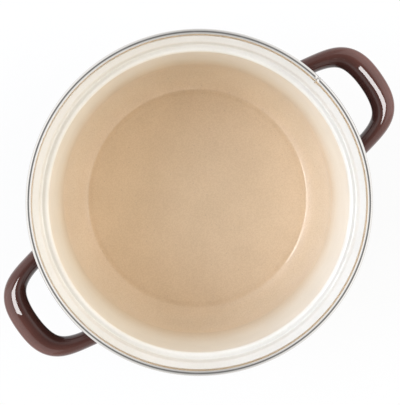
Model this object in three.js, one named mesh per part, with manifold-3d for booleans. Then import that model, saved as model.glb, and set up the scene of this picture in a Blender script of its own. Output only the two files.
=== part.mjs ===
// An open enamelled-steel cooking pot with two loop handles and a stainless rim band.
// Millimetres, +Z up. The origin is the middle of the base, on the surface that the pot stands on.
// The two handles lie along X.

import * as THREE from "three";
import { mergeVertices } from "three/addons/utils/BufferGeometryUtils.js";
import Module from "manifold-3d";

const wasm = await Module();
wasm.setup();

const DEGREE = Math.PI / 180;

// Sheet, enamel and the clearances between them
const STEEL_THICKNESS = 0.9;
const LINING_THICKNESS = 0.3;
const COAT_THICKNESS = 0.3;
const ENAMEL_BOND = 0.05; // between steel and the enamel fired onto it
const WELD_CLEARANCE = 0.1; // between the vessel's steel and a handle's foot
const WINDOW_CLEARANCE = 0.3; // between the outer coat and the coat of a handle's foot

// Vessel, measured on its inside face
const WALL_RADIUS = 101.5;
const WALL_HEIGHT = 88.03; // straight side, from the base corner to the shoulder
const CORNER_RADIUS = 27;
const CREASE_ANGLE = 24 * DEGREE; // sharp turn out of the stand ring, where the base coat ends
const CREASE_BEND = 3;
const STAND_RING_WIDTH = 1; // flat ring that the pot stands on
const FLOOR_RISE = 0.3; // the floor disc is pressed up by this much
const FLOOR_STEP_ANGLE = 8 * DEGREE;
const FLOOR_STEP_BEND = 2;

// Mouth: shoulder, lid seat, collar and pouring lip
const SHOULDER_BEND = 1.2;
const SEAT_WIDTH = 1;
const COLLAR_BEND = 1;
const COLLAR_ANGLE = 83 * DEGREE;
const COLLAR_LENGTH = 5;
const LIP_BEND = 1;
const LIP_ANGLE = 45 * DEGREE;
const LIP_LENGTH = 8;

// Rim band, a strip folded over the lip with its ends meeting in a butt joint
const BAND_THICKNESS = 0.4;
const BAND_LAP = 3;
const BAND_CLEARANCE = 0.15;
const BAND_JOINT_GAP = 0.5;
const BAND_JOINT_ANGLE = 11.3 * DEGREE; // from the right handle, anticlockwise seen from above

// Handles, hollow loops of formed sheet, measured over their enamel
const HANDLE_SHEET = 1.2;
const FINGER_DEPTH = 32.5; // from the pot's side to the grip
const GRIP_WIDTH = 16.7; // across the loop, seen from above
const GRIP_HEIGHT = 13.5;
const GRIP_RISE = 4; // the middle of the grip above the feet
const LEG_WIDTH = 11.9;
const LEG_HEIGHT = 17.5;
const LEG_TOE_IN = 8.5 * DEGREE;
const FOOT_SPACING = 71.5;
const FOOT_FLANGE = 3; // width of the flange round each leg
const FOOT_DROP = 1.5; // from the shoulder down to the feet
const SEAM_WIDTH = 1.2; // open seam along the underside

// Shape factors of the loop: how full its corners are, and where along each half its section changes
const LEG_FULLNESS = 0.75;
const GRIP_FULLNESS = 0.82;
const TAPER_START = 0.23;
const TAPER_END = 0.88;
const SEAM_START = 0.2;

// Facets
const ROUND_FACETS = 40;
const CORNER_FACETS = 4;
const SHOULDER_FACETS = 2;
const SMALL_BEND_FACETS = 1;
const NOSE_FACETS = 4;
const HANDLE_SIDES = 10;
const HALF_HANDLE_STEPS = 7;
const FOOT_FACETS = 6;
const MERGE_TOLERANCE = 1e-4;
const OVERCUT = 2; // how far a cutting solid runs past what it cuts

// Depths below the inside face, and the whole wall
const steelNear = LINING_THICKNESS + ENAMEL_BOND;
const steelFar = steelNear + STEEL_THICKNESS;
const coatNear = steelFar + ENAMEL_BOND;
const wallThickness = coatNear + COAT_THICKNESS;
const steelOuterRadius = WALL_RADIUS + steelFar;
const wallOuterRadius = WALL_RADIUS + wallThickness;
const creaseRise = CREASE_BEND * (1 - Math.cos(CREASE_ANGLE));
const cornerRise = CORNER_RADIUS * Math.cos(CREASE_ANGLE);
const shoulderHeight = wallThickness + creaseRise + cornerRise + WALL_HEIGHT;

// A formed sheet is a chain of straight runs and bends. A bend's radius is that of its tighter face,
// and a positive angle turns the chain towards the inside of the pot.
const run = (length) => ({ length });
const bend = (radius, angle, steps) => ({ radius, angle, steps });

const insideNormal = (heading) => new THREE.Vector2(-Math.sin(heading), Math.cos(heading));

function follow(start, chain) {
  const stations = [start];
  for (const move of chain) {
    const { point, heading } = stations.at(-1);
    if (move.length !== undefined) {
      const ahead = new THREE.Vector2(Math.cos(heading), Math.sin(heading));
      stations.push({ point: point.clone().addScaledVector(ahead, move.length), heading });
      continue;
    }
    const faceRadius = move.angle > 0 ? move.radius : -move.radius - wallThickness;
    const centre = point.clone().addScaledVector(insideNormal(heading), faceRadius);
    for (let step = 1; step <= move.steps; step += 1) {
      const turned = heading + (move.angle * step) / move.steps;
      const onArc = centre.clone().addScaledVector(insideNormal(turned), -faceRadius);
      stations.push({ point: onArc, heading: turned });
    }
  }
  return stations;
}

// The line of stations at a depth below the inside face
function faceAt(stations, depth) {
  return stations.map(({ point, heading }) => point.clone().addScaledVector(insideNormal(heading), -depth));
}

// The outline of a layer between two depths, anticlockwise in the plane of radius and height
function layerOutline(stations, near, far) {
  return [...faceAt(stations, far), ...faceAt(stations, near).reverse()];
}

function closed(outline) {
  return [...outline, outline[0]];
}

function revolve(outline) {
  return new THREE.LatheGeometry(outline, ROUND_FACETS).rotateX(Math.PI / 2);
}

function rectangle(innerRadius, outerRadius, bottom, top) {
  return [
    new THREE.Vector2(innerRadius, bottom),
    new THREE.Vector2(outerRadius, bottom),
    new THREE.Vector2(outerRadius, top),
    new THREE.Vector2(innerRadius, top),
  ];
}

function toSolid(geometry) {
  const bare = new THREE.BufferGeometry();
  bare.setAttribute("position", geometry.getAttribute("position"));
  bare.setIndex(geometry.getIndex());
  const merged = mergeVertices(bare, MERGE_TOLERANCE);
  const vertProperties = Float32Array.from(merged.getAttribute("position").array);
  const triVerts = Uint32Array.from(merged.getIndex().array);
  return new wasm.Manifold(new wasm.Mesh({ numProp: 3, vertProperties, triVerts }));
}

function toGeometry(solid) {
  const { vertProperties, triVerts } = solid.getMesh();
  const geometry = new THREE.BufferGeometry();
  geometry.setAttribute("position", new THREE.BufferAttribute(vertProperties, 3));
  geometry.setIndex(new THREE.BufferAttribute(triVerts, 1));
  geometry.computeVertexNormals();
  return geometry;
}

// A closed solid through rings of points, each ring anticlockwise seen from the end of the row
function loft(rings) {
  const count = rings[0].length;
  const index = [];
  for (let ring = 0; ring + 1 < rings.length; ring += 1) {
    for (let side = 0; side < count; side += 1) {
      const here = ring * count + side;
      const next = ring * count + ((side + 1) % count);
      index.push(here, next, next + count, here, next + count, here + count);
    }
  }
  const last = (rings.length - 1) * count;
  for (let side = 1; side + 1 < count; side += 1) {
    index.push(0, side + 1, side);
    index.push(last, last + side, last + side + 1);
  }
  const geometry = new THREE.BufferGeometry().setFromPoints(rings.flat());
  geometry.setIndex(index);
  return geometry;
}

// Vessel: the floor is a disc pressed up inside a ring, which is creased into the corner, wall and mouth
function floorStep() {
  const bends = FLOOR_STEP_BEND + wallThickness + FLOOR_STEP_BEND;
  const slope = (FLOOR_RISE - bends * (1 - Math.cos(FLOOR_STEP_ANGLE))) / Math.sin(FLOOR_STEP_ANGLE);
  const reach = bends * Math.sin(FLOOR_STEP_ANGLE) + slope * Math.cos(FLOOR_STEP_ANGLE);
  return { slope, reach };
}

function vesselStations() {
  const step = floorStep();
  const crease = CREASE_BEND * Math.sin(CREASE_ANGLE);
  const corner = CORNER_RADIUS * (1 - Math.sin(CREASE_ANGLE));
  const discRadius = WALL_RADIUS - corner - crease - STAND_RING_WIDTH - step.reach;
  const floorMiddle = { point: new THREE.Vector2(0, wallThickness + FLOOR_RISE), heading: 0 };
  const base = follow(floorMiddle, [
    run(discRadius),
    bend(FLOOR_STEP_BEND, -FLOOR_STEP_ANGLE, SMALL_BEND_FACETS),
    run(step.slope),
    bend(FLOOR_STEP_BEND, FLOOR_STEP_ANGLE, SMALL_BEND_FACETS),
    run(STAND_RING_WIDTH),
    bend(CREASE_BEND, CREASE_ANGLE, SMALL_BEND_FACETS),
  ]);
  const side = follow(base.at(-1), [
    bend(CORNER_RADIUS, Math.PI / 2 - CREASE_ANGLE, CORNER_FACETS),
    run(WALL_HEIGHT),
    bend(SHOULDER_BEND, -Math.PI / 2, SHOULDER_FACETS),
    run(SEAT_WIDTH),
    bend(COLLAR_BEND, COLLAR_ANGLE, SMALL_BEND_FACETS),
    run(COLLAR_LENGTH),
    bend(LIP_BEND, LIP_ANGLE - COLLAR_ANGLE, SMALL_BEND_FACETS),
    run(LIP_LENGTH),
  ]);
  return { base, side, whole: [...base, ...side.slice(1)] };
}

// Rim band: a U folded over the lip's edge, in the lip's own directions, along it and square to it
function bandOutline(lipEdge) {
  const { point, heading } = lipEdge;
  const along = new THREE.Vector2(Math.cos(heading), Math.sin(heading));
  const square = insideNormal(heading);
  const place = (s, n) => point.clone().addScaledVector(along, s).addScaledVector(square, n);
  const middle = -wallThickness / 2;
  const innerRadius = wallThickness / 2 + BAND_CLEARANCE;
  const outerRadius = innerRadius + BAND_THICKNESS;
  const nose = (radius) => {
    const arc = new THREE.EllipseCurve(0, middle, radius, radius, -Math.PI / 2, Math.PI / 2);
    return arc.getPoints(NOSE_FACETS).map(({ x, y }) => place(x, y));
  };
  return [
    place(-BAND_LAP, middle - outerRadius),
    ...nose(outerRadius),
    place(-BAND_LAP, middle + outerRadius),
    place(-BAND_LAP, middle + innerRadius),
    ...nose(innerRadius).reverse(),
    place(-BAND_LAP, middle - innerRadius),
  ];
}

function bandSolid(lipEdge) {
  const { point } = lipEdge;
  const reach = 2 * (BAND_LAP + wallThickness + BAND_CLEARANCE + BAND_THICKNESS) + OVERCUT;
  const joint = new THREE.BoxGeometry(reach, BAND_JOINT_GAP, reach);
  joint.translate(point.x, 0, point.y).rotateZ(BAND_JOINT_ANGLE);
  return toSolid(revolve(closed(bandOutline(lipEdge)))).subtract(toSolid(joint));
}

// Handles: a loop that leaves the wall at two feet, with its section changing from leg to grip
const footAngle = Math.asin(FOOT_SPACING / 2 / steelOuterRadius);
const footWidth = LEG_WIDTH / Math.cos(footAngle + LEG_TOE_IN) + 2 * FOOT_FLANGE;
const footHeight = LEG_HEIGHT + 2 * FOOT_FLANGE;
const footLevel = shoulderHeight - FOOT_DROP - footHeight / 2;
const footSeatRadius = steelOuterRadius + WELD_CLEARANCE;
const footThickness = HANDLE_SHEET + ENAMEL_BOND + COAT_THICKNESS;

// Half of the loop's middle line, from the front or back foot to the middle of the grip
function halfLoop(hand) {
  const foot = new THREE.Vector3(
    steelOuterRadius * Math.cos(footAngle),
    hand * steelOuterRadius * Math.sin(footAngle),
    footLevel,
  );
  const grip = new THREE.Vector3(wallOuterRadius + FINGER_DEPTH + GRIP_WIDTH / 2, 0, footLevel + GRIP_RISE);
  const outwards = new THREE.Vector3(Math.cos(LEG_TOE_IN), -hand * Math.sin(LEG_TOE_IN), 0);
  const legArm = foot.clone().addScaledVector(outwards, LEG_FULLNESS * (grip.x - foot.x));
  const gripArm = grip.clone().setY(hand * GRIP_FULLNESS * (FOOT_SPACING / 2));
  return new THREE.CubicBezierCurve3(foot, legArm, gripArm, grip);
}

// Stations along the loop, from a share of its front half to the same share of its back half
function loopStations(start) {
  const front = halfLoop(-1);
  const back = halfLoop(1);
  const stations = [];
  for (let step = -HALF_HANDLE_STEPS; step <= HALF_HANDLE_STEPS; step += 1) {
    const share = THREE.MathUtils.lerp(1, start, Math.abs(step) / HALF_HANDLE_STEPS);
    const half = step > 0 ? back : front;
    const tangent = half.getTangent(share).multiplyScalar(step > 0 ? -1 : 1);
    stations.push({ share, centre: half.getPoint(share), tangent });
  }
  return stations;
}

// The whole loop with its two ends pushed on into the wall
function embeddedStations(extra) {
  const pushed = (station, distance) => ({
    ...station,
    centre: station.centre.clone().addScaledVector(station.tangent, distance),
  });
  const stations = loopStations(0);
  return [pushed(stations[0], -extra), ...stations, pushed(stations.at(-1), extra)];
}

function sectionSize(share) {
  const blend = THREE.MathUtils.smoothstep(share, TAPER_START, TAPER_END);
  return {
    width: THREE.MathUtils.lerp(LEG_WIDTH, GRIP_WIDTH, blend),
    height: THREE.MathUtils.lerp(LEG_HEIGHT, GRIP_HEIGHT, blend),
  };
}

// Points given across and up in a station's own plane
function ringAt(station, points) {
  const across = new THREE.Vector3(0, 0, 1).cross(station.tangent).normalize();
  const up = station.tangent.clone().cross(across).normalize();
  return points.map(([a, b]) => station.centre.clone().addScaledVector(across, a).addScaledVector(up, b));
}

function tubeSolid(depth, extra) {
  const rings = embeddedStations(extra).map((station) => {
    const { width, height } = sectionSize(station.share);
    const oval = new THREE.EllipseCurve(0, 0, width / 2 - depth, height / 2 - depth);
    const points = oval.getPoints(HANDLE_SIDES).slice(0, -1);
    return ringAt(station, points.map(({ x, y }) => [x, y]));
  });
  return toSolid(loft(rings));
}

function seamSolid() {
  const rings = loopStations(SEAM_START).map((station) => {
    const bottom = -sectionSize(station.share).height / 2 - OVERCUT;
    const half = SEAM_WIDTH / 2;
    return ringAt(station, [[half, bottom], [half, 0], [-half, 0], [-half, bottom]]);
  });
  return toSolid(loft(rings));
}

// An oval bar from the pot's axis out through one foot, its outline grown all round
function footBar(angle, grow) {
  const oval = new THREE.Shape();
  oval.absellipse(0, 0, footWidth / 2 + grow, footHeight / 2 + grow, 0, 2 * Math.PI);
  const depth = footSeatRadius + footThickness + OVERCUT;
  const bar = new THREE.ExtrudeGeometry(oval, { depth, bevelEnabled: false, curveSegments: FOOT_FACETS });
  return toSolid(bar.rotateX(Math.PI / 2).rotateZ(angle + Math.PI / 2).translate(0, 0, footLevel));
}

// The loop with its two feet, at a depth below its finished faces, run on into the wall
function loopWithFeet(depth, extra) {
  const half = footHeight / 2 + OVERCUT;
  const outerRadius = footSeatRadius + footThickness - depth;
  const shell = rectangle(footSeatRadius - extra, outerRadius, footLevel - half, footLevel + half);
  let solid = tubeSolid(depth, extra);
  for (const angle of [-footAngle, footAngle]) {
    solid = solid.add(toSolid(revolve(closed(shell))).intersect(footBar(angle, -depth)));
  }
  return solid;
}

function handleSolids() {
  const embedded = LEG_WIDTH + HANDLE_SHEET;
  const half = footHeight / 2 + OVERCUT;
  const wall = toSolid(revolve(rectangle(0, footSeatRadius, footLevel - half, footLevel + half)));
  const seam = seamSolid();
  const finish = (outside, inside) => outside.subtract(inside).subtract(wall).subtract(seam);
  const steelDepth = COAT_THICKNESS + ENAMEL_BOND;
  const bore = tubeSolid(steelDepth + HANDLE_SHEET, embedded + OVERCUT);
  return {
    steel: finish(loopWithFeet(steelDepth, embedded), bore),
    enamel: finish(loopWithFeet(0, embedded), loopWithFeet(COAT_THICKNESS, embedded + OVERCUT)),
  };
}

function outerCoat(sideStations) {
  let coat = toSolid(revolve(closed(layerOutline(sideStations, coatNear, wallThickness))));
  for (const angle of [-footAngle, footAngle, Math.PI - footAngle, Math.PI + footAngle]) {
    coat = coat.subtract(footBar(angle, WINDOW_CLEARANCE));
  }
  return coat;
}

// Finishes
const sheetSteel = () => new THREE.MeshStandardMaterial({ color: 0x6f6c6a, roughness: 0.5, metalness: 1 });
const stainless = () => new THREE.MeshStandardMaterial({ color: 0xc8c6c3, roughness: 0.15, metalness: 1 });
const enamel = (color) => new THREE.MeshStandardMaterial({ color, roughness: 0.15, metalness: 0 });
const CREAM = 0xecd9bd;
const BROWN = 0x4a2a24;
const BLACK = 0x1b1817;

function piece(name, geometry, material) {
  const mesh = new THREE.Mesh(geometry, material);
  mesh.name = name;
  return mesh;
}

const pot = new THREE.Group();
pot.name = "enamel_pot";

const vessel = vesselStations();
pot.add(
  piece("vessel_shell", revolve(layerOutline(vessel.whole, steelNear, steelFar)), sheetSteel()),
  piece("interior_enamel", revolve(layerOutline(vessel.whole, 0, LINING_THICKNESS)), enamel(CREAM)),
  piece("exterior_enamel", toGeometry(outerCoat(vessel.side)), enamel(BROWN)),
  piece("base_enamel", revolve(layerOutline(vessel.base, coatNear, wallThickness)), enamel(BLACK)),
  piece("rim_band", toGeometry(bandSolid(vessel.whole.at(-1))), stainless()),
);

const handle = handleSolids();
for (const [hand, turn] of [["right", 0], ["left", Math.PI]]) {
  const pair = new THREE.Group();
  pair.rotation.z = turn;
  pair.add(
    piece(`handle_${hand}_shell`, toGeometry(handle.steel), sheetSteel()),
    piece(`handle_${hand}_enamel`, toGeometry(handle.enamel), enamel(BROWN)),
  );
  pot.add(pair);
}

export default pot;
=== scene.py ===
"""An open enamelled-steel cooking pot with two loop handles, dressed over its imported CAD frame.

Shapes are worked out in millimetres, from the sizes of the part's source, and placed in metres.
"""

import math

import bpy
import numpy as np
from mathutils import Matrix, Vector


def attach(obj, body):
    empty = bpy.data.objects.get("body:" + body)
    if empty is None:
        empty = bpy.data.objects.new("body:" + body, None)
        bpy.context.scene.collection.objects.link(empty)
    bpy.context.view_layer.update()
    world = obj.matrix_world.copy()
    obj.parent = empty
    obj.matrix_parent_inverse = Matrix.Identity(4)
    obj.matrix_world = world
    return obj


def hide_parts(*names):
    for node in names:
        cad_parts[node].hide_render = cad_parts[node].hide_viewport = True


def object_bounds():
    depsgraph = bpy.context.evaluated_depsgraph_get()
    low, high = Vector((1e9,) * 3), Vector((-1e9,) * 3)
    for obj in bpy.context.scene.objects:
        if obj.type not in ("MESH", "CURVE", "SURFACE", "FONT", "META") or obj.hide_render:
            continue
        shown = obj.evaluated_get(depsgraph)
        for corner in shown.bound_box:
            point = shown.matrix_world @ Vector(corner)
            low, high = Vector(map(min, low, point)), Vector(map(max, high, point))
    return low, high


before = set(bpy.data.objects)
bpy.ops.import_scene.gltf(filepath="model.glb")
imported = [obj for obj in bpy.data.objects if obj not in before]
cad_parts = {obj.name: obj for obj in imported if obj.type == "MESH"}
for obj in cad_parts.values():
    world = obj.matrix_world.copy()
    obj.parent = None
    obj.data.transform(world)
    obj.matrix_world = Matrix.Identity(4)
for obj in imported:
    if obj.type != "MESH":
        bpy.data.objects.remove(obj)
cad_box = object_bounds()

MM = 0.001
DEGREE = math.pi / 180

# Sheet and enamel
STEEL_THICKNESS = 0.9
LINING_THICKNESS = 0.3
COAT_THICKNESS = 0.3
ENAMEL_BOND = 0.05
WELD_CLEARANCE = 0.1

# Vessel, measured on its inside face
WALL_RADIUS = 101.5
WALL_HEIGHT = 88.03
CORNER_RADIUS = 27
CREASE_ANGLE = 24 * DEGREE
CREASE_BEND = 3
STAND_RING_WIDTH = 1
FLOOR_RISE = 0.3
FLOOR_STEP_ANGLE = 8 * DEGREE
FLOOR_STEP_BEND = 2

# Mouth: shoulder, lid seat, collar and pouring lip
SHOULDER_BEND = 1.2
SEAT_WIDTH = 1
COLLAR_BEND = 1
COLLAR_ANGLE = 83 * DEGREE
COLLAR_LENGTH = 5
LIP_BEND = 1
LIP_ANGLE = 45 * DEGREE
LIP_LENGTH = 8

# Rim band, and how one of its ends is pinched out over the lip
BAND_THICKNESS = 0.4
BAND_LAP = 3
BAND_CLEARANCE = 0.15
BEAD_RADIUS = 2.0
BEAD_SETBACK = 0.9
BAND_JOINT_GAP = 0.5
BAND_JOINT_ANGLE = 11.3 * DEGREE
PINCH_LAP = 0.9
PINCH_LENGTH = 4.5

# Handles, measured over their enamel
HANDLE_SHEET = 1.2
FINGER_DEPTH = 32.5
GRIP_WIDTH = 16.7
GRIP_HEIGHT = 13.5
GRIP_RISE = 4
LEG_WIDTH = 11.9
LEG_HEIGHT = 17.5
LEG_TOE_IN = 8.5 * DEGREE
FOOT_SPACING = 71.5
FOOT_FLANGE = 3
FOOT_DROP = 1.5
FOOT_FILLET = 1.8
FOOT_EDGE_ROUND = 0.9
FOOT_SINK = 0.1
SEAM_WIDTH = 1.2
SEAM_DEPTH = 1.5
LEG_FULLNESS = 0.75
GRIP_FULLNESS = 0.82
TAPER_START = 0.23
TAPER_END = 0.88
SEAM_START = 0.2
SEAM_RUN_OUT = 0.03

# Fineness of the meshes
ROUND_STEPS = 320
BEND_STEP = 5 * DEGREE
RUN_STEP = 8
FLAT_MARGIN = 0.15
FOLD_STEPS = 28
EDGE_STEPS = 6
HANDLE_SIDES = 72
HALF_HANDLE_STEPS = 64
LEG_START = 0.08
LEG_STEPS = 4
FILLET_STEPS = 6

# Depths below the inside face, and sizes that follow from them
STEEL_NEAR = LINING_THICKNESS + ENAMEL_BOND
STEEL_FAR = STEEL_NEAR + STEEL_THICKNESS
COAT_NEAR = STEEL_FAR + ENAMEL_BOND
WALL_THICKNESS = COAT_NEAR + COAT_THICKNESS
STEEL_OUTER_RADIUS = WALL_RADIUS + STEEL_FAR
WALL_OUTER_RADIUS = WALL_RADIUS + WALL_THICKNESS
CREASE_RISE = CREASE_BEND * (1 - math.cos(CREASE_ANGLE))
CORNER_RISE = CORNER_RADIUS * math.cos(CREASE_ANGLE)
SHOULDER_LEVEL = WALL_THICKNESS + CREASE_RISE + CORNER_RISE + WALL_HEIGHT
FOOT_ANGLE = math.asin(FOOT_SPACING / 2 / STEEL_OUTER_RADIUS)
LEG_SLANT = FOOT_ANGLE + LEG_TOE_IN
FOOT_LEVEL = SHOULDER_LEVEL - FOOT_DROP - LEG_HEIGHT / 2 - FOOT_FLANGE
FOOT_STEEL_FACE = STEEL_OUTER_RADIUS + WELD_CLEARANCE + HANDLE_SHEET
FOOT_PROUD = FOOT_STEEL_FACE + ENAMEL_BOND + COAT_THICKNESS - WALL_OUTER_RADIUS
RIM_LEVEL = cad_box[1].z / MM


def smoothstep(value, low, high):
    share = min(1, max(0, (value - low) / (high - low)))
    return share * share * (3 - 2 * share)


def lerp(start, end, share):
    return start + (end - start) * share


# Formed sheet: a chain of straight runs and bends, followed along its inside face
def run(length):
    return {"length": length}


def bend(radius, angle):
    return {"radius": radius, "angle": angle}


def inside_normal(heading):
    return np.array((-math.sin(heading), math.cos(heading)))


def run_shares(length):
    """Even shares of a run, with one close to each end, which keeps the run flat under smooth shading."""
    count = max(1, round(length / RUN_STEP))
    margin = min(FLAT_MARGIN / length, 1 / 4)
    return [margin, *(k / count for k in range(1, count)), 1 - margin, 1]


def follow(start, chain):
    """Stations (point, heading) along the chain; a bend's radius is that of its tighter face."""
    stations = [start]
    for move in chain:
        point, heading = stations[-1]
        if "length" in move:
            ahead = np.array((math.cos(heading), math.sin(heading)))
            stations += [(point + ahead * move["length"] * s, heading) for s in run_shares(move["length"])]
            continue
        angle = move["angle"]
        face_radius = move["radius"] if angle > 0 else -move["radius"] - WALL_THICKNESS
        centre = point + inside_normal(heading) * face_radius
        steps = max(2, math.ceil(abs(angle) / BEND_STEP))
        for step in range(1, steps + 1):
            turned = heading + angle * step / steps
            stations.append((centre - inside_normal(turned) * face_radius, turned))
    return stations


def vessel_stations():
    """The base up to where its own coat ends, and the side from there to the lip's edge."""
    bends = 2 * FLOOR_STEP_BEND + WALL_THICKNESS
    slope = (FLOOR_RISE - bends * (1 - math.cos(FLOOR_STEP_ANGLE))) / math.sin(FLOOR_STEP_ANGLE)
    reach = bends * math.sin(FLOOR_STEP_ANGLE) + slope * math.cos(FLOOR_STEP_ANGLE)
    crease = CREASE_BEND * math.sin(CREASE_ANGLE)
    corner = CORNER_RADIUS * (1 - math.sin(CREASE_ANGLE))
    disc_radius = WALL_RADIUS - corner - crease - STAND_RING_WIDTH - reach
    base = follow((np.array((0, WALL_THICKNESS + FLOOR_RISE)), 0), [
        run(disc_radius),
        bend(FLOOR_STEP_BEND, -FLOOR_STEP_ANGLE),
        run(slope),
        bend(FLOOR_STEP_BEND, FLOOR_STEP_ANGLE),
        run(STAND_RING_WIDTH),
        bend(CREASE_BEND, CREASE_ANGLE),
    ])
    side = follow(base[-1], [
        bend(CORNER_RADIUS, math.pi / 2 - CREASE_ANGLE),
        run(WALL_HEIGHT),
        bend(SHOULDER_BEND, -math.pi / 2),
        run(SEAT_WIDTH),
        bend(COLLAR_BEND, COLLAR_ANGLE),
        run(COLLAR_LENGTH),
        bend(LIP_BEND, LIP_ANGLE - COLLAR_ANGLE),
        run(LIP_LENGTH),
    ])
    return base, side


def layer_outline(stations, near, far):
    """The closed outline of a layer between two depths below the inside face."""
    faces = [[p - inside_normal(h) * depth for p, h in stations] for depth in (far, near)]
    return faces[0] + faces[1][::-1]


def revolve(outline):
    """Vertices and faces of a closed outline turned about Z, where a point on the axis is one vertex."""
    vertices = []
    rings = []
    turns = [2 * math.pi * k / ROUND_STEPS for k in range(ROUND_STEPS)]
    for radius, level in outline:
        on_axis = radius < FLAT_MARGIN / 2
        corners = [(0, 0, level)] if on_axis else [
            (radius * math.cos(t), radius * math.sin(t), level) for t in turns
        ]
        rings.append(range(len(vertices), len(vertices) + len(corners)))
        vertices += corners
    faces = []
    for here, there in zip(rings, rings[1:] + rings[:1]):
        if len(here) == len(there) == 1:
            continue
        for k in range(ROUND_STEPS):
            n = (k + 1) % ROUND_STEPS
            face = [here[k % len(here)], here[n % len(here)], there[n % len(there)], there[k % len(there)]]
            faces.append(list(dict.fromkeys(face)))
    return vertices, faces


def loft(rings, first=0):
    """Faces between rings of as many points each, numbered from first."""
    count = len(rings[0])
    faces = []
    for ring in range(len(rings) - 1):
        for side in range(count):
            here = first + ring * count + side
            there = first + ring * count + (side + 1) % count
            faces.append([here, there, there + count, here + count])
    return faces


def piece(name, shape, material, slot, *nodes):
    """A smooth piece of the object that stands for the named CAD nodes."""
    vertices, faces = shape
    mesh = bpy.data.meshes.new(name)
    mesh.from_pydata([Vector(v) * MM for v in vertices], [], faces)
    mesh.validate()
    mesh.shade_smooth()
    mesh.materials.append(material)
    made = bpy.data.objects.new(name, mesh)
    bpy.context.scene.collection.objects.link(made)
    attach(made, "root")
    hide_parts(*nodes)
    return made


# Rim band: a strip folded over the lip's edge, swept round from one side of its joint to the other
def band_section(lap):
    """The strip's outline along the lip and square to it, with a full bead and half-round edges."""
    middle = -WALL_THICKNESS / 2
    inner = WALL_THICKNESS / 2 + BAND_CLEARANCE
    outer = inner + BAND_THICKNESS
    half = BAND_THICKNESS / 2

    def arc(x, y, radius, start, end, steps):
        angles = [lerp(start, end, k / steps) for k in range(steps + 1)]
        return [(x + radius * math.cos(a), y + radius * math.sin(a)) for a in angles]

    quarter = math.pi / 2
    bead_end = math.pi - math.asin(outer / BEAD_RADIUS)
    return [
        *arc(-BEAD_SETBACK, middle, BEAD_RADIUS, -bead_end, bead_end, FOLD_STEPS),
        *arc(-lap, middle + inner + half, half, quarter, 3 * quarter, EDGE_STEPS),
        *arc(0, middle, inner, quarter, -quarter, FOLD_STEPS),
        *arc(-BAND_LAP, middle - inner - half, half, quarter, 3 * quarter, EDGE_STEPS),
    ]


def rim_band(lip_edge):
    """The strip's vertices and faces, from the station at the lip's edge."""
    point, heading = lip_edge
    along = np.array((math.cos(heading), math.sin(heading)))
    square = inside_normal(heading)
    half_gap = BAND_JOINT_GAP / 2 / point[0]
    rings = []
    for step in range(ROUND_STEPS + 1):
        turn = lerp(half_gap, 2 * math.pi - half_gap, step / ROUND_STEPS)
        from_end = (2 * math.pi - half_gap - turn) * point[0]
        lap = BAND_LAP + PINCH_LAP * (1 - smoothstep(from_end, 0, PINCH_LENGTH))
        spots = [point + along * s + square * n for s, n in band_section(lap)]
        angle = BAND_JOINT_ANGLE + turn
        rings.append([(r * math.cos(angle), r * math.sin(angle), level) for r, level in spots])
    count = len(rings[0])
    last = (len(rings) - 1) * count
    faces = [[*f[::-1]] for f in loft(rings)]
    faces += [list(range(count)), list(range(last, last + count))[::-1]]
    return sum(rings, []), faces


# Handles: a hollow loop under a coat, which flares into a foot on the wall at each end
def half_loop(hand):
    """The four points of the curve from one foot to the middle of the grip."""
    foot = Vector((
        STEEL_OUTER_RADIUS * math.cos(FOOT_ANGLE),
        hand * STEEL_OUTER_RADIUS * math.sin(FOOT_ANGLE),
        FOOT_LEVEL,
    ))
    grip = Vector((WALL_OUTER_RADIUS + FINGER_DEPTH + GRIP_WIDTH / 2, 0, FOOT_LEVEL + GRIP_RISE))
    outwards = Vector((math.cos(LEG_TOE_IN), -hand * math.sin(LEG_TOE_IN), 0))
    leg_arm = foot + outwards * LEG_FULLNESS * (grip.x - foot.x)
    grip_arm = Vector((grip.x, hand * GRIP_FULLNESS * FOOT_SPACING / 2, grip.z))
    return foot, leg_arm, grip_arm, grip


def bezier(points, share):
    """A point of a cubic curve and its direction there."""
    a, b, c, d = points
    rest = 1 - share
    place = a * rest ** 3 + b * 3 * rest ** 2 * share + c * 3 * rest * share ** 2 + d * share ** 3
    heading = (b - a) * rest ** 2 + (c - b) * 2 * rest * share + (d - c) * share ** 2
    return place, heading.normalized()


def oval(half_width, half_height, seam_half, seam_depth):
    """An oval outline across and up, with the rolled-in seam as a groove along its underside."""
    # Shares of the groove's half width beyond it, and of its depth, from its lip inwards
    groove = [(0.5, 0.04), (0.28, 0.14), (0.1, 0.32), (0.02, 0.7), (-0.16, 1)]
    half_sides = [(seam_half * (1 + out), seam_depth * deep) for out, deep in groove]
    edge = math.asin(min(1, half_sides[0][0] / half_width))
    arc = [lerp(edge, 2 * math.pi - edge, k / HANDLE_SIDES) for k in range(HANDLE_SIDES + 1)]
    ring = [(half_width * math.sin(a), -half_height * math.cos(a)) for a in arc[1:-1]]

    def under(x, deep):
        return (x, deep - half_height * math.sqrt(1 - (x / half_width) ** 2))

    left = [under(-x, deep) for x, deep in half_sides]
    right = [under(x, deep) for x, deep in half_sides[::-1]]
    return [*ring, *left, *right]


def loop_ring(hand, share, inset):
    """The loop's section at a share of one half, at a depth below its finished face."""
    centre, heading = bezier(half_loop(hand), share)
    tangent = heading * -hand
    across = Vector((0, 0, 1)).cross(tangent).normalized()
    up = tangent.cross(across)
    grown = smoothstep(share, TAPER_START, TAPER_END)
    seam = smoothstep(share, SEAM_START - SEAM_RUN_OUT, SEAM_START + SEAM_RUN_OUT)
    outline = oval(
        lerp(LEG_WIDTH, GRIP_WIDTH, grown) / 2 - inset,
        lerp(LEG_HEIGHT, GRIP_HEIGHT, grown) / 2 - inset,
        SEAM_WIDTH / 2 + inset,
        SEAM_DEPTH * seam,
    )
    return [centre + across * x + up * y for x, y in outline]


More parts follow.
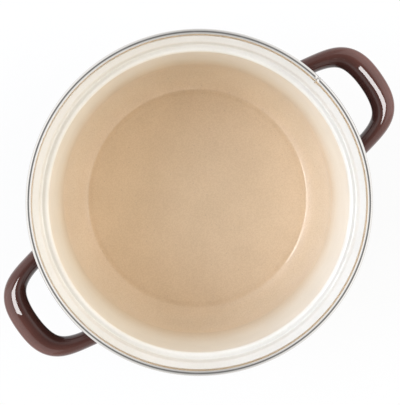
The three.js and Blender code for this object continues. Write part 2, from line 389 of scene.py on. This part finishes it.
def wall_ring(hand, height, shift, grow, inset):
    """An oval round a leg that lies on the wall, raised above it and grown all round."""
    half_width = LEG_WIDTH / 2 / math.cos(LEG_SLANT) + grow - inset
    half_height = LEG_HEIGHT / 2 + grow - inset
    radius = WALL_OUTER_RADIUS + height
    ring = []
    for x, y in oval(half_width, half_height, SEAM_WIDTH / 2 + inset, 0):
        angle = hand * (FOOT_ANGLE - (x + shift) / WALL_OUTER_RADIUS)
        ring.append(Vector((radius * math.cos(angle), radius * math.sin(angle), FOOT_LEVEL + y)))
    return ring


def foot_rings(hand, inset):
    """Rings from the wall over the flange's rounded edge and up its fillet, then along the leg."""
    top = FOOT_PROUD - inset
    drift = math.tan(LEG_SLANT)
    bury = WALL_OUTER_RADIUS - STEEL_OUTER_RADIUS
    rings = [wall_ring(hand, -FOOT_SINK, 0, FOOT_FLANGE, inset)]
    for step in range(FILLET_STEPS + 1):
        turn = math.pi / 2 * step / FILLET_STEPS
        height = top - FOOT_EDGE_ROUND * (1 - math.sin(turn))
        grow = FOOT_FLANGE - FOOT_EDGE_ROUND * (1 - math.cos(turn))
        rings.append(wall_ring(hand, height, 0, grow, inset))
    for step in range(FILLET_STEPS + 1):
        turn = math.pi / 2 * step / FILLET_STEPS
        height = top + FOOT_FILLET * (1 - math.cos(turn))
        grow = FOOT_FILLET * (1 - math.sin(turn))
        rings.append(wall_ring(hand, height, (height + bury) * drift, grow, inset))
    leg = loop_ring(hand, LEG_START, inset)
    neck = rings[-1]
    for step in range(1, LEG_STEPS):
        rings.append([a.lerp(b, step / LEG_STEPS) for a, b in zip(neck, leg)])
    return rings


def handle_rings(inset):
    """All rings of a handle from one foot to the other, at a depth below its finished face."""
    shares = [lerp(LEG_START, 1, k / HALF_HANDLE_STEPS) for k in range(HALF_HANDLE_STEPS + 1)]
    front = foot_rings(-1, inset) + [loop_ring(-1, s, inset) for s in shares]
    back = foot_rings(1, inset) + [loop_ring(1, s, inset) for s in shares[:-1]]
    return front + back[::-1]


def handle_shape(near, far, turn):
    """A hollow layer of the handle between two depths below its finished face, turned about Z."""
    outside = handle_rings(near)
    inside = handle_rings(far)
    count = len(outside[0])
    half = len(outside) * count
    faces = loft(outside) + [f[::-1] for f in loft(inside, half)]
    for start in (0, half - count):
        for side in range(count):
            here = start + side
            there = start + (side + 1) % count
            rim = [here, here + half, there + half, there]
            faces.append(rim if start == 0 else rim[::-1])
    spin = Matrix.Rotation(turn, 3, "Z")
    return [spin @ p for ring in outside + inside for p in ring], faces


# Materials, with sizes and heights in metres
NOISE_LOW = 0.3
NOISE_HIGH = 0.7
SPOT_CORE = 0.4


class Nodes:
    """Short calls that add nodes to one tree and link them."""

    def __init__(self, tree):
        self.tree = tree
        tree.nodes.clear()

    def add(self, kind, inputs=None, **settings):
        made = self.tree.nodes.new(kind)
        for name, value in settings.items():
            setattr(made, name, value)
        for name, value in (inputs or {}).items():
            self.put(made.inputs[name], value)
        return made

    def put(self, socket, value):
        if isinstance(value, bpy.types.NodeSocket):
            self.tree.links.new(value, socket)
        else:
            socket.default_value = value

    def math(self, operation, *values):
        return self.add("ShaderNodeMath", dict(enumerate(values)), operation=operation).outputs[0]

    def vector_math(self, operation, *values):
        return self.add("ShaderNodeVectorMath", dict(enumerate(values)), operation=operation).outputs

    def flat(self, vector):
        """A vector without its height."""
        return self.vector_math("MULTIPLY", vector, (1, 1, 0))["Vector"]

    def height(self, vector):
        return self.add("ShaderNodeSeparateXYZ", {0: vector}).outputs["Z"]

    def from_axis(self, vector):
        return self.vector_math("LENGTH", self.flat(vector))["Value"]

    def spread(self, value, low, high, to_low=0.0, to_high=1.0):
        inputs = {"Value": value, "From Min": low, "From Max": high, "To Min": to_low, "To Max": to_high}
        return self.add("ShaderNodeMapRange", inputs, interpolation_type="SMOOTHSTEP").outputs[0]

    def stretched(self, noise, to_low=0.0, to_high=1.0):
        """A noise spread over the part of its range that it mostly fills."""
        return self.spread(noise, NOISE_LOW, NOISE_HIGH, to_low, to_high)

    def mix(self, share, a, b):
        return self.add("ShaderNodeMix", {0: share, 2: a, 3: b}).outputs[0]

    def blend(self, share, a, b, how="MIX"):
        """One colour blended into another."""
        made = self.add("ShaderNodeMix", {0: share, 6: a, 7: b}, data_type="RGBA", blend_type=how)
        return made.outputs[2]

    def noise(self, vector, size, detail):
        """Noise whose coarsest features are about size across."""
        inputs = {"Vector": vector, "Scale": 1 / size, "Detail": detail}
        return self.add("ShaderNodeTexNoise", inputs).outputs[0]

    def spots(self, vector, pitch, radius, kept):
        """Round spots in a share of the cells of a pitch: 1 inside, 0 outside."""
        cells = self.add("ShaderNodeTexVoronoi", {"Vector": vector, "Scale": 1 / pitch})
        near = self.spread(cells.outputs["Distance"], radius / pitch, SPOT_CORE * radius / pitch)
        chance = self.add("ShaderNodeSeparateColor", {"Color": cells.outputs["Color"]}).outputs[0]
        return self.math("MULTIPLY", near, self.math("LESS_THAN", chance, kept))

    def bump(self, height, depth):
        inputs = {"Strength": 1.0, "Distance": depth, "Height": height}
        return self.add("ShaderNodeBump", inputs).outputs[0]

    def seen_rays(self):
        """1 for the rays that show a thing straight, mirrored or through glass, and 0 for its light."""
        ray = self.add("ShaderNodeLightPath").outputs
        shown = self.math("MAXIMUM", ray["Is Camera Ray"], ray["Is Glossy Ray"])
        return self.math("MAXIMUM", shown, ray["Is Transmission Ray"])


def surface(name):
    """A new material, its nodes and its object coordinates."""
    made = bpy.data.materials.new(name)
    made.use_nodes = True
    nodes = Nodes(made.node_tree)
    return made, nodes, nodes.add("ShaderNodeTexCoord").outputs["Object"]


def shade(nodes, inputs):
    shader = nodes.add("ShaderNodeBsdfPrincipled", inputs)
    nodes.add("ShaderNodeOutputMaterial", {"Surface": shader.outputs[0]})


def cream_enamel():
    """Glossy cream cover coat, paler towards the mouth as painted light, with fine grain and sparse darker
    specks.

    A thin darker line of painted shade runs along the rim band's edge.
    """
    made, nodes, place = surface("cream_enamel")
    deep = (0.862, 0.638, 0.416, 1)
    # The two paler colours below are painted light, standing in for the brighter light up the wall and at
    # the mouth.
    painted_light_pale = (0.95, 0.92, 0.84, 1)
    painted_light_ivory = (0.80, 0.76, 0.70, 1)
    cloud_tint = (0.955, 0.95, 0.94, 1)
    grain_tint = (0.935, 0.915, 0.88, 1)
    speck_colour = (0.30, 0.20, 0.12, 1)
    # Painted shade: the colour, radius, reach and share of a thin darker line along the rim band's edge.
    band_edge_shade_colour = (0.22, 0.19, 0.12, 1)
    corner_heights = (0.0025, 0.009)
    wall_heights = (-0.015, 0.075)
    mouth_heights = (0.112, 0.120)
    settled_heights = (0.09, 0.02)
    settled_shares = (0.25, 1.0)
    painted_light_corner_share = 0.10
    grain_range = (0.35, 0.65)
    speck_share = 0.3
    band_edge_shade_radius = 0.1111
    band_edge_shade_reach = (0.0005, 0.0002)
    band_edge_shade_share = 0.3

    height = nodes.height(place)
    # Painted light: the blends into paler colours at the corner, up the wall and at the mouth stand in for
    # the brighter light there.
    colour = nodes.blend(nodes.spread(height, *corner_heights, 0.0, painted_light_corner_share), deep, painted_light_pale)
    colour = nodes.blend(nodes.spread(height, *wall_heights), colour, painted_light_pale)
    colour = nodes.blend(nodes.spread(height, *mouth_heights), colour, painted_light_ivory)
    clouds = nodes.noise(place, size=0.03, detail=5.0)
    colour = nodes.blend(nodes.stretched(clouds), colour, cloud_tint, "MULTIPLY")
    settled = nodes.spread(height, *settled_heights, *settled_shares)
    grain = nodes.spread(nodes.noise(place, size=0.0011, detail=2.0), *grain_range)
    colour = nodes.blend(nodes.math("MULTIPLY", grain, settled), colour, grain_tint, "MULTIPLY")
    specks = nodes.math("MULTIPLY", nodes.spots(place, pitch=0.0035, radius=0.0005, kept=0.4), settled)
    colour = nodes.blend(nodes.math("MULTIPLY", specks, speck_share), colour, speck_colour)
    # Painted shade: a thin darker line along the rim band's edge, where the band shades the enamel.
    from_line = nodes.math("ABSOLUTE", nodes.math("SUBTRACT", nodes.from_axis(place), band_edge_shade_radius))
    band_edge_shade = nodes.spread(from_line, *band_edge_shade_reach, 0.0, band_edge_shade_share)
    colour = nodes.blend(band_edge_shade, colour, band_edge_shade_colour)
    peel = nodes.bump(nodes.noise(place, size=0.008, detail=1.0), depth=0.00002)
    shade(nodes, {
        "Base Color": colour,
        "Roughness": 0.45,
        "IOR": 1.52,
        "Coat Weight": 0.5,
        "Coat Roughness": 0.08,
        "Normal": peel,
        "Coat Normal": peel,
    })
    return made


def brown_enamel():
    """Glossy chocolate-brown cover coat with a faint orange peel and tiny pimples."""
    made, nodes, place = surface("brown_enamel")
    light = (0.062, 0.0235, 0.0185, 1)
    dark = (0.052, 0.0198, 0.0155, 1)
    pimple_share = 0.6

    clouds = nodes.noise(place, size=0.02, detail=4.0)
    pimples = nodes.spots(place, pitch=0.0035, radius=0.0004, kept=0.4)
    peel = nodes.noise(place, size=0.005, detail=2.0)
    relief = nodes.math("ADD", peel, nodes.math("MULTIPLY", pimples, pimple_share))
    shade(nodes, {
        "Base Color": nodes.blend(nodes.stretched(clouds), light, dark),
        "Roughness": nodes.stretched(clouds, 0.03, 0.06),
        "IOR": 1.45,
        "Normal": nodes.bump(relief, depth=0.00005),
    })
    return made


def black_enamel():
    """Satin black ground coat with pale flecks, scuffed where the pot stands."""
    made, nodes, place = surface("black_enamel")
    light = (0.022, 0.020, 0.020, 1)
    dark = (0.014, 0.013, 0.013, 1)
    fleck_colour = (0.25, 0.24, 0.23, 1)
    scuff_colour = (0.10, 0.095, 0.09, 1)
    fleck_share = 0.5
    scuff_height = 0.0006

    clouds = nodes.noise(place, size=0.012, detail=5.0)
    colour = nodes.blend(nodes.stretched(clouds), light, dark)
    flecks = nodes.spots(place, pitch=0.004, radius=0.0006, kept=0.5)
    colour = nodes.blend(nodes.math("MULTIPLY", flecks, fleck_share), colour, fleck_colour)
    worn = nodes.spread(nodes.height(place), scuff_height, 0.0)
    scuff = nodes.math("MULTIPLY", worn, nodes.noise(place, size=0.002, detail=4.0))
    colour = nodes.blend(scuff, colour, scuff_colour)
    shade(nodes, {
        "Base Color": colour,
        "Roughness": nodes.stretched(clouds, 0.25, 0.42),
        "Normal": nodes.bump(nodes.noise(place, size=0.003, detail=3.0), depth=0.00004),
    })
    return made


def polished_stainless():
    """Polished strip with faint lines along its length and a few handling marks."""
    made, nodes, place = surface("polished_stainless")
    light = (0.84, 0.82, 0.79, 1)
    dark = (0.76, 0.74, 0.715, 1)
    mark_range = (0.3, 0.75)

    lines = nodes.add("ShaderNodeCombineXYZ", {"X": nodes.from_axis(place), "Y": nodes.height(place)})
    streaks = nodes.noise(lines.outputs[0], size=0.0004, detail=3.0)
    marks = nodes.noise(place, size=0.006, detail=4.0)
    shade(nodes, {
        "Base Color": nodes.blend(nodes.stretched(streaks), light, dark),
        "Metallic": 1.0,
        "Roughness": nodes.spread(marks, *mark_range, 0.10, 0.22),
        "Normal": nodes.bump(streaks, depth=0.000004),
    })
    return made


def bare_steel():
    """Drawn sheet steel under the enamel."""
    made, nodes, place = surface("bare_steel")
    light = (0.32, 0.31, 0.30, 1)
    dark = (0.25, 0.24, 0.235, 1)

    clouds = nodes.noise(place, size=0.01, detail=6.0)
    shade(nodes, {
        "Base Color": nodes.blend(nodes.stretched(clouds), light, dark),
        "Metallic": 1.0,
        "Roughness": nodes.stretched(clouds, 0.4, 0.55),
    })
    return made


def pale_floor():
    """White studio floor that the camera and shiny surfaces see near white, shadow included."""
    made = bpy.data.materials.new("pale_floor")
    made.use_nodes = True
    nodes = Nodes(made.node_tree)
    white = (0.92, 0.92, 0.92, 1)
    glow_share = 0.9

    paint = nodes.add("ShaderNodeBsdfDiffuse", {"Color": white}).outputs[0]
    glow = nodes.add("ShaderNodeEmission", {"Strength": 1.0}).outputs[0]
    share = nodes.math("MULTIPLY", nodes.seen_rays(), glow_share)
    mixed = nodes.add("ShaderNodeMixShader", {0: share, 1: paint, 2: glow})
    nodes.add("ShaderNodeOutputMaterial", {"Surface": mixed.outputs[0]})
    return made


# The object
base, side = vessel_stations()
whole = base + side[1:]
cream = cream_enamel()
brown = brown_enamel()
steel = bare_steel()

piece("vessel_steel", revolve(layer_outline(whole, STEEL_NEAR, STEEL_FAR)), steel,
      "sheet_steel", "vessel_shell")
lining = piece("vessel_lining", revolve(layer_outline(whole, 0, LINING_THICKNESS)), cream,
               "cream_enamel", "interior_enamel")
piece("vessel_coat", revolve(layer_outline(side, COAT_NEAR, WALL_THICKNESS)), brown,
      "brown_enamel", "exterior_enamel")
piece("base_coat", revolve(layer_outline(base, COAT_NEAR, WALL_THICKNESS)), black_enamel(),
      "base_enamel", "base_enamel")
piece("rim_strip", rim_band(whole[-1]), polished_stainless(), "stainless", "rim_band")
handle_coats = []
for hand, turn in (("right", 0), ("left", math.pi)):
    steel_depth = COAT_THICKNESS + ENAMEL_BOND
    piece(f"handle_{hand}_core", handle_shape(steel_depth, steel_depth + HANDLE_SHEET, turn), steel,
          "sheet_steel", f"handle_{hand}_shell")
    handle_coats.append(piece(f"handle_{hand}_coat", handle_shape(0, COAT_THICKNESS, turn), brown,
                              "brown_enamel", f"handle_{hand}_enamel"))

# The photograph's view: its directions across and up, and where the camera stands over the pot
VIEW_TURN = -35.3 * DEGREE
CAMERA_HEIGHT = 0.730
CAMERA_RIGHT = -0.0099
CAMERA_UP = 0.0207
LEAN_RIGHT = 0.0139
LEAN_UP = -0.0277
LENS = 98.2

view_right = Vector((math.cos(VIEW_TURN), math.sin(VIEW_TURN), 0))
view_up = Vector((-math.sin(VIEW_TURN), math.cos(VIEW_TURN), 0))
straight_up = Vector((0, 0, 1))


def in_view(right, up, height):
    """A point given across and up in the photograph and by its height."""
    return view_right * right + view_up * up + straight_up * height


def add_camera():
    """The camera that took the photograph, almost straight above the pot."""
    forward = (view_right * LEAN_RIGHT + view_up * LEAN_UP - straight_up).normalized()
    right = (view_right - forward * view_right.dot(forward)).normalized()
    up = right.cross(forward)
    data = bpy.data.cameras.new("photo_camera")
    data.lens = LENS
    data.clip_start = 0.01
    data.clip_end = 50
    made = bpy.data.objects.new("photo_camera", data)
    place = in_view(CAMERA_RIGHT, CAMERA_UP, RIM_LEVEL * MM + CAMERA_HEIGHT)
    turn = Matrix((right, up, -forward)).transposed().to_4x4()
    made.matrix_world = Matrix.Translation(place) @ turn
    bpy.context.scene.collection.objects.link(made)
    bpy.context.scene.camera = made


# Surroundings as they light the pot, by height and side, and as they show in gloss
SKY_LOW = 0.7
SKY_LOW_RIGHT = 2.0
SKY_LEFT = 4.3
SKY_RIGHT = 2.9
SKY_TOP = 1.05
SKY_BOTTOM = 0.52
SKY_OVERHEAD = 0.25
SHOWN_SIDES = 1.15
SHOWN_ENDS = 0.65
SHOWN_OVERHEAD = 0.2

# Sines of the elevations between which one strength gives way to the next
LOW_END = 0.2
SIDES_START = 0.48
SIDES_END = 0.76
OVERHEAD_START = 0.93
SHOWN_SIDES_END = 0.72
SHOWN_OVERHEAD_START = 0.97

# How the strengths and tints turn from one side of the photograph to another
SIDES_POWER = 4.0
TURN_OVER = 0.5
COOL_LIGHT = (0.95, 1.05, 1.22, 1)
WARM_LIGHT = (1.01, 0.99, 0.95, 1)
SHOWN_TINT = (1, 1, 1, 1)
COOL_SIDE = (-0.9, 0.43)
COOL_START = 0.4
COOL_FULL = 0.95

# Lamps
STREAK_RADIANCE = 20
STREAK_DISTANCE = 0.04
GLINT_RADIANCE = 22
LINE_RADIANCE = 2.5
LAMP_DISTANCE = 2
PANEL_RADIANCE = 7.0
PANEL_SIZE = (2.0, 3.2)
PANEL_RISE = 0.2
PANEL_AIM = 0.11
SHEEN_RADIANCE = 0.7
SHEEN_SIZE = (3.0, 3.6)
SHEEN_RISE = 0.45
SHEEN_SHARES = (1.0, 0.8, 0.6, 0.4)


def add_lamp(name, lit, shows, spot, toward, along, distance, size, radiance):
    """A rectangular lamp that lights one piece alone, and shows only in its gloss or only in its colour.

    It stands off a spot in a direction, and its length is set along a way.
    """
    width, length = size
    data = bpy.data.lights.new(name, "AREA")
    data.shape = "RECTANGLE"
    data.size = width
    data.size_y = length
    data.energy = radiance * math.pi * width * length
    made = bpy.data.objects.new(name, data)
    back = toward.normalized()
    down = (along - back * along.dot(back)).normalized()
    turn = Matrix((down.cross(back), down, back)).transposed().to_4x4()
    made.matrix_world = Matrix.Translation(spot + back * distance) @ turn
    made.visible_camera = False
    made.visible_diffuse = shows == "colour"
    made.visible_glossy = shows == "gloss"
    receivers = bpy.data.collections.new(name)
    receivers.objects.link(lit)
    made.light_linking.receiver_collection = receivers
    bpy.context.scene.collection.objects.link(made)


def add_lamps(right_coat, left_coat, lining):
    """Streaks on the handles, a glint and a faint line along the floor's crease, and the handles' panels.

    A panel lightens a handle's outer side, and its sheens, one inside the other, fade out in its gloss.
    """
    centre = in_view(0, 0, 0)
    add_lamp("right_streak", right_coat, "gloss",
             spot=in_view(0.1207, 0.0750, 0.112), toward=straight_up, along=in_view(0.737, -0.676, 0),
             distance=STREAK_DISTANCE, size=(0.021, 0.043), radiance=STREAK_RADIANCE)
    add_lamp("left_streak", left_coat, "gloss",
             spot=in_view(-0.133, -0.068, 0.112), toward=straight_up, along=in_view(0.36, -0.93, 0),
             distance=STREAK_DISTANCE, size=(0.025, 0.023), radiance=STREAK_RADIANCE)
    add_lamp("crease_glint", lining, "gloss",
             spot=centre, toward=in_view(-0.542, 0.057, 0.839), along=in_view(0.1, 1, 0),
             distance=LAMP_DISTANCE, size=(0.40, 1.16), radiance=GLINT_RADIANCE)
    add_lamp("crease_line", lining, "gloss",
             spot=centre, toward=in_view(0.42, -0.35, 0.84), along=in_view(0.64, 0.77, 0),
             distance=LAMP_DISTANCE, size=(0.35, 2.6), radiance=LINE_RADIANCE)
    aim = in_view(0, 0, PANEL_AIM)
    crosswise = Vector((0, 1, 0))
    for name, coat, way in (("right_panel", right_coat, 1), ("left_panel", left_coat, -1)):
        add_lamp(name, coat, "colour", spot=aim, toward=Vector((way, 0, PANEL_RISE)), along=crosswise,
                 distance=LAMP_DISTANCE, size=PANEL_SIZE, radiance=PANEL_RADIANCE)
        for share in SHEEN_SHARES:
            add_lamp(name + "_sheen", coat, "gloss", spot=aim, toward=Vector((way, 0, SHEEN_RISE)),
                     along=crosswise, distance=LAMP_DISTANCE, size=[share * edge for edge in SHEEN_SIZE],
                     radiance=SHEEN_RADIANCE)


def add_sky():
    """Surroundings whose strength goes by the sine of the elevation and by the side of the photograph."""
    world = bpy.data.worlds.new("studio")
    world.use_nodes = True
    nodes = Nodes(world.node_tree)
    direction = nodes.add("ShaderNodeTexCoord").outputs["Generated"]
    rise = nodes.height(direction)
    level = nodes.vector_math("NORMALIZE", nodes.flat(direction))["Vector"]

    def part_along(way):
        return nodes.vector_math("DOT_PRODUCT", level, way)["Value"]

    across = part_along(view_right)
    upward = part_along(view_up)
    sideways = nodes.math("ABSOLUTE", across)
    sides = nodes.math("POWER", sideways, SIDES_POWER)
    sides = nodes.math("MULTIPLY", sides, nodes.spread(across, -TURN_OVER, TURN_OVER, SKY_LEFT, SKY_RIGHT))
    ends = nodes.math("MULTIPLY", upward, upward)
    ends = nodes.math("MULTIPLY", ends, nodes.spread(upward, -TURN_OVER, TURN_OVER, SKY_BOTTOM, SKY_TOP))
    low = nodes.spread(across, 0.0, 1.0, SKY_LOW, SKY_LOW_RIGHT)
    walls = nodes.mix(nodes.spread(rise, LOW_END, SIDES_START), low, nodes.math("ADD", sides, ends))
    lit = nodes.mix(nodes.spread(rise, SIDES_END, OVERHEAD_START), walls, SKY_OVERHEAD)
    shown_low = nodes.spread(sideways, 0.0, 1.0, SHOWN_ENDS, SHOWN_SIDES)
    shown = nodes.spread(rise, SHOWN_SIDES_END, SHOWN_OVERHEAD_START, shown_low, SHOWN_OVERHEAD)
    cool = nodes.spread(part_along(in_view(*COOL_SIDE, 0).normalized()), COOL_START, COOL_FULL)
    tint = nodes.blend(cool, WARM_LIGHT, COOL_LIGHT)
    seen = nodes.seen_rays()
    sky = nodes.add("ShaderNodeBackground", {
        "Color": nodes.blend(seen, tint, SHOWN_TINT),
        "Strength": nodes.mix(seen, lit, shown),
    })
    nodes.add("ShaderNodeOutputWorld", {"Surface": sky.outputs[0]})
    bpy.context.scene.world = world


def add_floor():
    """A wide white floor under the pot, which is no piece of it."""
    half = 3.0
    corners = [(-half, -half, 0), (half, -half, 0), (half, half, 0), (-half, half, 0)]
    mesh = bpy.data.meshes.new("studio_floor")
    mesh.from_pydata(corners, [], [(0, 1, 2, 3)])
    mesh.materials.append(pale_floor())
    made = bpy.data.objects.new("studio_floor", mesh)
    bpy.context.scene.collection.objects.link(made)


add_camera()
add_sky()
add_floor()
add_lamps(*handle_coats, lining)

bpy.context.scene.view_settings.view_transform = "Standard"
